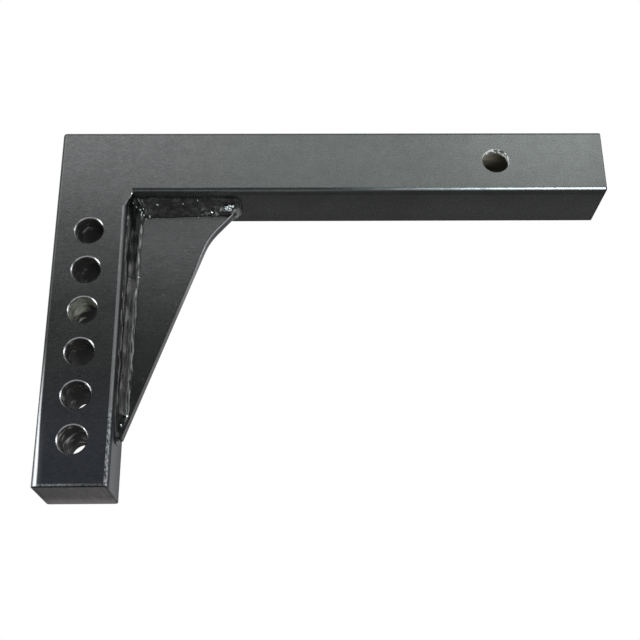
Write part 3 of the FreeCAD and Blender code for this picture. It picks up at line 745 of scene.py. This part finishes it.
spatter_finish = make_spatter_finish()
bar_bead_finish = make_bead_finish(
    "rippled_weld_paint", (1.6, 1, 1), smoothest=0.12, specular=0.09, coat=0.13
)
leg_bead_finish = make_bead_finish(
    "stringy_weld_paint", (1, 1, 7), smoothest=0.13, specular=0.06, coat=0.11, toe=leg_toe
)
print("bead finishes ready")

# %% [markdown]
# ## Noise for shapes
#
# Weld metal is never even, but each run of the script has to give the same bead. A sum of a few
# sine waves with directions and phases from a seeded generator does that for a whole surface.


# %% Seeded waves
def wavy(seed, lengths, *coordinates):
    """A smooth random field of about -1 to 1.

    For each wavelength it adds sin(2 pi (a . coordinates / length) + phase), where a is a random
    direction and the phase is random, and it divides the sum by the root of the count."""
    generator = np.random.default_rng(seed)
    total = np.zeros(np.broadcast(*coordinates).shape)
    for length in lengths:
        direction = generator.normal(size=len(coordinates))
        direction /= np.linalg.norm(direction)
        phase = generator.uniform(0, 2 * np.pi)
        travel = sum(part * value for part, value in zip(direction, coordinates))
        total += np.sin(2 * np.pi * travel / length + phase)
    return total / math.sqrt(len(lengths))


def smooth_step(value):
    """3v^2 - 2v^3 of the value held between 0 and 1."""
    held = np.clip(value, 0, 1)
    return held * held * (3 - 2 * held)


print("wave check:", wavy(1, [0.01, 0.02], np.zeros(1), np.zeros(1)).round(3))

# %% [markdown]
# ## A surface from a grid
#
# Each bead is a closed tube: a ring of points across the bead, repeated along it. The face
# indices come from one array sum, and each open end is closed by one many-sided face.


# %% Tube builder
def tube_mesh(name, rings):
    """A closed mesh from rings[along, round, xyz]: quads between neighbours, and two end caps.

    Corner (i, j) of quad (i, j) is i * count + j, and the ring's last point joins its first."""
    steps, count = rings.shape[:2]
    i, j = np.meshgrid(np.arange(steps - 1), np.arange(count), indexing="ij")
    following = (j + 1) % count
    quads = np.stack(
        [i * count + j, i * count + following, (i + 1) * count + following, (i + 1) * count + j], -1
    ).reshape(-1, 4)
    first_cap = list(range(count))[::-1]
    last_cap = [(steps - 1) * count + k for k in range(count)]
    mesh = bpy.data.meshes.new(name)
    mesh.from_pydata(rings.reshape(-1, 3).tolist(), [], quads.tolist() + [first_cap, last_cap])
    return mesh


def finish_piece(mesh, materials, node):
    """Turns the faces outwards, smooths them, and puts the piece in place of its CAD node."""
    shell = bmesh.new()
    shell.from_mesh(mesh)
    bmesh.ops.recalc_face_normals(shell, faces=shell.faces)
    shell.to_mesh(mesh)
    shell.free()
    mesh.polygons.foreach_set("use_smooth", np.ones(len(mesh.polygons), bool))
    mesh.set_sharp_from_angle(angle=math.radians(60))
    for material in materials:
        mesh.materials.append(material)
    piece = bpy.data.objects.new(mesh.name, mesh)
    bpy.context.scene.collection.objects.link(piece)
    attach(piece, "root")
    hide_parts(node)
    print(mesh.name, len(mesh.vertices), "points,", len(mesh.polygons), "faces")


def join_shells(first, second, second_slot=0):
    """One mesh of two closed shells; the second's faces get the given material slot."""
    joined = bmesh.new()
    joined.from_mesh(first)
    count = len(joined.faces)
    joined.from_mesh(second)
    for face in list(joined.faces)[count:]:
        face.material_index = second_slot
    joined.to_mesh(first)
    joined.free()
    return first


# %% [markdown]
# ## The route of a gusset bead
#
# A bead starts in the corner on the front side of the plate, goes round the plate's end and comes
# back on the rear side. Its root is a rectangle with small round corners, as travel along the
# plate, side across it and the angle of the outward direction.

# %% Route of the root
ROOT_CORNER = 1.6 * MM
ROOT_STEP = 0.45 * MM
TURN_STEPS = 20
END_STEPS = 14
FACE_REACH = 3 * MM


def root_route(length):
    """Travel, side, outward angle and surface distance along the root.

    Straight at -90 degrees, a quarter turn, the plate's end at 0, a quarter turn, and straight
    back at +90. The distance counts what the middle of the bead's face covers, so it also grows
    while the route turns on the spot."""
    near, half = length - ROOT_CORNER, PLATE_HALF - ROOT_CORNER
    straight = int(near / ROOT_STEP)
    turn = np.linspace(-np.pi / 2, 0, TURN_STEPS)[1:]
    along = np.linspace(0, near, straight)
    across = np.linspace(-half, half, END_STEPS)[1:]
    travel = [along, near + ROOT_CORNER * np.cos(turn), np.full(len(across), length)]
    side = [np.full(straight, -PLATE_HALF), -half + ROOT_CORNER * np.sin(turn), across]
    angle = [np.full(straight, -np.pi / 2), turn, np.zeros(len(across))]
    travel += [near + ROOT_CORNER * np.cos(turn[::-1][1:]), along[::-1]]
    side += [half - ROOT_CORNER * np.sin(turn[::-1][1:]), np.full(straight, PLATE_HALF)]
    angle += [-turn[::-1][1:], np.full(straight, np.pi / 2)]
    travel, side, angle = (np.concatenate(part) for part in (travel, side, angle))
    steps = np.hypot(np.diff(travel), np.diff(side)) + FACE_REACH * np.abs(np.diff(angle))
    distance = np.concatenate([[0], np.cumsum(steps)])
    return travel, side, angle, distance


print("route of the bar's bead:", round(float(root_route(PLATE_RUN)[3][-1]), 4), "m")

# %% [markdown]
# ## The face of a bead
#
# A thick fillet like this one is laid in several passes side by side. Each is a low round ridge
# with a crease to its neighbour, rippled across its travel, because the pool of metal freezes
# step by step. That is a height over the flat face of the fillet, as a function of the distance
# along the bead and the share of the way from the stock to the plate.

# %% Height over the flat face
CREST_AT = 0.75
CRESCENT = 2.2 * MM


def pass_height(distance, share, passes, seed, pitch, ripple_height):
    """Height of the passes over the straight face, in metres.

    A pass is its centre, its reach and its height in mm. It is a parabola
    1 - ((share - centre) / reach)^2 whose centre wanders; the highest one counts, which leaves
    creases between them. A ripple is a rounded saw-tooth of the distance plus a bow of the
    share, so that its crests are curved like crescents."""
    best = np.zeros(np.broadcast(distance, share).shape)
    for number, (middle, width, tall) in enumerate(passes):
        centre = middle + 0.16 * width * wavy(seed + number, [43 * MM, 24 * MM, 13 * MM], distance)
        reach = width * (1 + 0.14 * wavy(seed + 10 + number, [37 * MM, 19 * MM], distance))
        offset = (share - centre) / reach
        ridge = np.clip(1 - offset * offset, 0, None)
        warp = 0.35 * pitch * wavy(seed + 20 + number, [29 * MM, 13 * MM, 7 * MM], distance)
        phase = (distance + warp + CRESCENT * (1 - offset * offset)) / pitch + 0.37 * number
        tooth = phase - np.floor(phase)
        ripple = np.where(tooth < CREST_AT, tooth / CREST_AT, (1 - tooth) / (1 - CREST_AT))
        ripple = smooth_step(ripple) - 0.5
        swell = 1 + 0.22 * wavy(seed + 30 + number, [27 * MM, 41 * MM], distance)
        best = np.maximum(best, ridge * swell * (tall * MM + ripple_height * ripple))
    return best


# %% [markdown]
# ## Laying the beads
#
# The leg of the fillet on the stock is the spread, and the leg on the plate is the rise. They are
# the CAD bead's, a little restless, and shrink towards the plate's end. In the corner each bead
# is cut on the slope halfway between bar and leg and reaches a little past it, so they run into
# each other.

# %% Gusset bead
FACE_SHARES = 30
MITRE_LENGTH = 22 * MM
MITRE_OVERLAP = 0.8 * MM
SUNK = 0.5 * MM
SUNK_AT_END = 2.6 * MM
RESTLESS = 0.28 * MM
END_HEIGHT = 0.75
BAR_BEAD = dict(
    spread_mm=(10.0, 9.0, 4.3), rise_mm=(12.2, 9.4, 7.4), fades_mm=(74, 16, 9),
    passes=[(0.24, 0.42, 0.85), (0.76, 0.42, 0.85)],
    seed=101, pitch=3.1 * MM, ripple_height=0.22 * MM,
)
LEG_BEAD = dict(
    spread_mm=(10.8, 3.6, 2.9), rise_mm=(10.6, 8.0, 3.0), fades_mm=(185, 24, 17),
    passes=[(0.13, 0.16, 0.6), (0.52, 0.50, 0.22), (0.94, 0.10, 0.85)],
    seed=207, pitch=3.3 * MM, ripple_height=0.02 * MM,
)


def bead_size(travel, last, start, end, fade=24 * MM):
    """The size at the corner, fading smoothly to the end's over the stretch before last."""
    left = smooth_step((last - travel) / fade)
    return end + (start - end) * left


def gusset_bead_rings(length, spread_mm, rise_mm, fades_mm, passes, seed, pitch, ripple_height):
    """Rings of a bead in its own axes: travel along the plate, side across it, and top.

    spread_mm: in the corner, near the plate's end, and round the end. rise_mm: in the corner,
    near the plate's end, and at it. fades_mm: where the spread has changed, and over how much
    travel the spread and the rise change."""
    travel, side, angle, distance = (part[:, None] for part in root_route(length))
    share = np.linspace(0, 1, FACE_SHARES)[None, :]
    spread_last, spread_fade, rise_fade = (value * MM for value in fades_mm)
    corner_spread, side_spread, end_spread = (value * MM for value in spread_mm)
    spread = bead_size(travel, spread_last, corner_spread, side_spread, spread_fade)
    turned = 1 - smooth_step(np.abs(angle) / (np.pi / 2))
    spread = spread * (1 - turned) + end_spread * turned
    spread = spread + RESTLESS * wavy(seed + 50, [45 * MM, 26 * MM, 15 * MM], distance)
    corner_rise, late_rise, end_rise = (value * MM for value in rise_mm)
    rise_start = corner_rise + (late_rise - corner_rise) * np.clip(travel / length, 0, 1)
    rise = bead_size(travel, length, rise_start, end_rise, rise_fade)
    rise = rise + RESTLESS * wavy(seed + 51, [41 * MM, 23 * MM, 14 * MM], distance)
    height = pass_height(distance, share, passes, seed, pitch, ripple_height)
    height *= np.minimum(1, bead_size(travel, length, 1.0, END_HEIGHT))
    slant = np.hypot(spread, rise)
    out = spread * (1 - share) + height * rise / slant
    top = rise * share + height * spread / slant
    inner = -SUNK - SUNK_AT_END * np.cos(angle)
    sunk_out = np.concatenate([inner, inner, spread], 1)
    sunk_top = np.concatenate([rise, np.full_like(rise, -SUNK), np.full_like(rise, -SUNK)], 1)
    out, top = np.concatenate([out, sunk_out], 1), np.concatenate([top, sunk_top], 1)
    lean = np.clip(1 - travel / MITRE_LENGTH, 0, 1)
    along = travel + np.cos(angle) * out + lean * (top - MITRE_OVERLAP)
    return along, side + np.sin(angle) * out, top


def bar_bead_mesh():
    """Travel runs along X from the leg's face, and top goes down from the bar."""
    along, across, top = gusset_bead_rings(PLATE_RUN, **BAR_BEAD)
    return tube_mesh("bar_bead", np.stack([LEG_FACE_X + along, across, BAR_UNDER_Z - top], -1))


def leg_bead_mesh():
    """Travel runs down from the bar, and top goes along X from the leg's face."""
    along, across, top = gusset_bead_rings(PLATE_DROP, **LEG_BEAD)
    return tube_mesh("leg_bead", np.stack([LEG_FACE_X + top, across, BAR_UNDER_Z - along], -1))


print("seeds of the beads:", BAR_BEAD["seed"], LEG_BEAD["seed"])

# %% [markdown]
# ## Spatter
#
# Drops of metal flew off the arc and stuck to the front of the beads. They caught little paint,
# so they are bright. They lie thickest in the inner corner and in a cluster by the plate's nose.

# %% Droplets and where they stuck
DROP_SEED = 400
DROP_UNEVEN = 0.33
DROP_LIFT = 0.7
BEAD_OUT = 9.5
BEAD_DOWN = 11
CORNER_OUT = (HALF_DEPTH - PLATE_HALF) / MM - 1.8


def droplet_rings(centre, radius, seed):
    """A lump of spatter: circles round Z on a sphere whose radius waves by a third."""
    up = np.linspace(-0.48 * np.pi, 0.48 * np.pi, 14)[:, None]
    turn = np.linspace(0, 2 * np.pi, 18, endpoint=False)[None, :]
    level = [np.cos(up) * np.cos(turn), np.cos(up) * np.sin(turn)]
    unit = np.stack([*level, np.sin(up) * np.ones_like(turn)], -1)
    uneven = 1 + DROP_UNEVEN * wavy(seed, [1.1, 1.9, 2.7], unit[..., 0], unit[..., 1], unit[..., 2])
    return np.array(centre) + radius * uneven[..., None] * unit


def from_corner(run, out, down):
    """A place in mm along the bar, out from the plate's front face and down from the bar."""
    return (LEG_FACE_X + run * MM, -PLATE_HALF - out * MM, BAR_UNDER_Z - down * MM)


def on_slope(*rows):
    """Spots on the bar's bead: the run in mm, the share of the way to the plate, the radius."""
    return [
        (from_corner(run, BEAD_OUT * (1 - share) + DROP_LIFT, BEAD_DOWN * share + DROP_LIFT), radius)
        for run, share, radius in rows
    ]


def spatter(spots):
    """Droplets as (place, radius in mm)."""
    mesh = None
    for number, (place, radius) in enumerate(spots):
        drop = tube_mesh("droplet", droplet_rings(place, radius * MM, DROP_SEED + number))
        mesh = drop if mesh is None else join_shells(mesh, drop)
    return mesh


BAR_SPOTS = [
    *on_slope((9.4, 0.74, 1.1), (10.8, 0.92, 0.9), (8.2, 0.6, 0.7), (5.6, 0.45, 0.6)),
    *on_slope((8.9, 0.84, 0.7), (3.4, 0.25, 0.6), (12.6, 0.66, 0.6), (11.2, 0.7, 0.5)),
    *on_slope((10.4, 0.55, 0.6), (7.4, 0.8, 0.6), (41.0, 0.3, 0.5), (52.0, 0.12, 0.6)),
    (from_corner(3.2, CORNER_OUT, 1.2), 1.3),
    *on_slope((15.4, 0.97, 0.9), (21.8, 0.34, 1.2), (73.6, 0.46, 2.0)),
    *on_slope((76.0, 0.50, 2.2), (78.4, 0.44, 1.2), (62.4, 0.75, 0.8)),
    (from_corner(12.4, 0.0, 12.8), 0.6),
    (from_corner(20.6, 0.0, 12.4), 0.5),
    (from_corner(51.8, 0.0, 11.4), 0.5),
]
LEG_SPOTS = [
    (from_corner(7.6, 3.2, 170.0), 1.1),
    (from_corner(4.4, 6.4, 178.0), 0.8),
    (from_corner(9.6, 1.0, 62.0), 0.6),
]

bar_bead = join_shells(bar_bead_mesh(), spatter(BAR_SPOTS), second_slot=1)
leg_bead = join_shells(leg_bead_mesh(), spatter(LEG_SPOTS), second_slot=1)
finish_piece(bar_bead, [bar_bead_finish, spatter_finish], "bar_weld")
finish_piece(leg_bead, [leg_bead_finish, spatter_finish], "leg_weld")

# %% [markdown]
# ## The corner bead
#
# Under the end of the bar one more bead runs from the front face to the rear face. Its ends
# were ground flush with both faces. The ring is the slope from the bar to the leg with two
# passes on it, and the hidden rest of it lies inside the steel.

# %% Corner bead
CORNER_RUN = 4.2 * MM
CORNER_DROP = 13.5 * MM
CORNER_ROUND = 2.5 * MM
CORNER_FILL = 2.4 * MM
CORNER_BACK = -1.15 * CORNER_ROUND
CORNER_STEPS = 130
CORNER_SHARES = 26
CORNER_SEED = 307
CORNER_PITCH = 2.9 * MM
GROUND_LENGTH = 2.5 * MM
FLUSH_GAP = 0.01 * MM


def corner_bead_rings():
    """Rings along Y: the slope from (run, 0) to (-round, -drop), with the passes' height."""
    y = np.linspace(-HALF_DEPTH + FLUSH_GAP, HALF_DEPTH - FLUSH_GAP, CORNER_STEPS)[:, None]
    share = np.linspace(0, 1, CORNER_SHARES)[None, :]
    ground = smooth_step((HALF_DEPTH - np.abs(y)) / GROUND_LENGTH)
    height = pass_height(y + 60 * MM, share, BAR_BEAD["passes"], CORNER_SEED, CORNER_PITCH, 0.1 * MM)
    height = height * ground
    slope_x, slope_z = -(CORNER_RUN + CORNER_ROUND), -CORNER_DROP
    slant = math.hypot(slope_x, slope_z)
    run = CORNER_RUN + 0.4 * MM * ground * wavy(CORNER_SEED + 4, [17 * MM, 7 * MM], y)
    x = run + slope_x * share - slope_z / slant * height
    z = slope_z * share + slope_x / slant * height
    hidden = np.ones_like(y)
    x = np.concatenate([x, CORNER_BACK * hidden, CORNER_BACK * hidden, run], 1)
    z = np.concatenate([z, slope_z * hidden, CORNER_FILL * hidden, CORNER_FILL * hidden], 1)
    y = np.broadcast_to(y, x.shape)
    return np.stack([LEG_FACE_X + x, y, BAR_UNDER_Z + z], -1)


corner_bead = tube_mesh("corner_bead", corner_bead_rings())
for cap in corner_bead.polygons[-2:]:
    cap.material_index = 1
finish_piece(corner_bead, [bar_bead_finish, seam_finish], "corner_weld")

# %% [markdown]
# ## The other CAD pieces stay as they are
#
# The bar, the leg, the plate and the ground seam keep their CAD shape.

# %% The CAD pieces keep their shape
print("CAD pieces kept as they are")

# %% [markdown]
# ## The room
#
# A plain pale floor lies well below the shank, which hangs in its mount. The world is white for
# the camera and for reflections, and a softer white for everything else, so black paint mirrors
# a bright room without being washed out.

# %% Floor and world
FLOOR_Z = -1.15
FLOOR_HALF = 6.0
FLOOR_LOOK = ((0.70, 0.70, 0.70, 1), 0.9, 0.0)
WORLD_FILL = 0.25


def make_floor():
    corners = [(-1, -1), (1, -1), (1, 1), (-1, 1)]
    mesh = bpy.data.meshes.new("floor")
    mesh.from_pydata([(x * FLOOR_HALF, y * FLOOR_HALF, FLOOR_Z) for x, y in corners], [], [(0, 1, 2, 3)])
    mesh.materials.append(Finish("pale_floor").wear(FLOOR_LOOK))
    floor = bpy.data.objects.new("floor", mesh)
    bpy.context.scene.collection.objects.link(floor)


def make_world():
    """White for camera, glossy and transmission rays, and the fill's grey for the rest."""
    world = bpy.data.worlds.new("studio")
    world.use_nodes = True
    tree = world.node_tree
    background = tree.nodes["Background"]
    path = tree.nodes.new("ShaderNodeLightPath")
    seen = path.outputs["Is Camera Ray"]
    for other in ("Is Glossy Ray", "Is Transmission Ray"):
        either = tree.nodes.new("ShaderNodeMath")
        either.operation = "MAXIMUM"
        tree.links.new(seen, either.inputs[0])
        tree.links.new(path.outputs[other], either.inputs[1])
        seen = either.outputs[0]
    strength = tree.nodes.new("ShaderNodeMapRange")
    strength.inputs["To Min"].default_value = WORLD_FILL
    tree.links.new(seen, strength.inputs["Value"])
    tree.links.new(strength.outputs[0], background.inputs["Strength"])
    background.inputs["Color"].default_value = (1, 1, 1, 1)
    bpy.context.scene.world = world


make_floor()
make_world()
print("floor at", FLOOR_Z, "m")

# %% [markdown]
# ## The lamps
#
# Black satin steel shows its lamps more than its colour. A wide softbox high in front is
# mirrored by the bar and the top of the leg, one on the right by the bar's open end, and a dim
# one overhead by its top edge. Tall lamps at the sides draw the white lines on edges and hole
# rims, and one from below puts the glints on the beads. A lamp is placed by its direction and
# the angles that it fills. Its brightness is what a mirror would show.

# %% Lamps
LAMP_TARGET = Vector((-0.15, 0.0, -0.08))
LAMP_DISTANCE = 2.2
LAMPS = [
    # name, azimuth, elevation, wide, tall, brightness
    ("front_softbox", -15, 35, 50, 12, 12),
    ("right_softbox", 34, 34.5, 32, 14, 18),
    ("left_softbox", -92, -20, 34, 42, 14),
    ("overhead", 0, 68, 70, 26, 3.6),
    ("right_strip", 80, 13, 12, 30, 14),
    ("low_glint", 26, -32, 22, 46, 16),
]


def make_lamp(name, azimuth, elevation, wide, tall, brightness):
    """An area lamp that fills wide by tall degrees; power is brightness times area times pi.

    Azimuth 0 is in front of the shank, 90 on its right, and elevation is above the horizon."""
    a, e = math.radians(azimuth), math.radians(elevation)
    direction = Vector((math.sin(a) * math.cos(e), -math.cos(a) * math.cos(e), math.sin(e)))
    lamp_data = bpy.data.lights.new(name, "AREA")
    lamp_data.shape = "RECTANGLE"
    lamp_data.size = 2 * LAMP_DISTANCE * math.tan(math.radians(wide / 2))
    lamp_data.size_y = 2 * LAMP_DISTANCE * math.tan(math.radians(tall / 2))
    lamp_data.energy = brightness * lamp_data.size * lamp_data.size_y * math.pi
    lamp = bpy.data.objects.new(name, lamp_data)
    lamp.location = LAMP_TARGET + direction * LAMP_DISTANCE
    lamp.rotation_euler = direction.to_track_quat("Z", "Y").to_euler()
    lamp.visible_camera = False
    bpy.context.scene.collection.objects.link(lamp)


for lamp_row in LAMPS:
    make_lamp(*lamp_row)
print("lamps:", len(LAMPS))
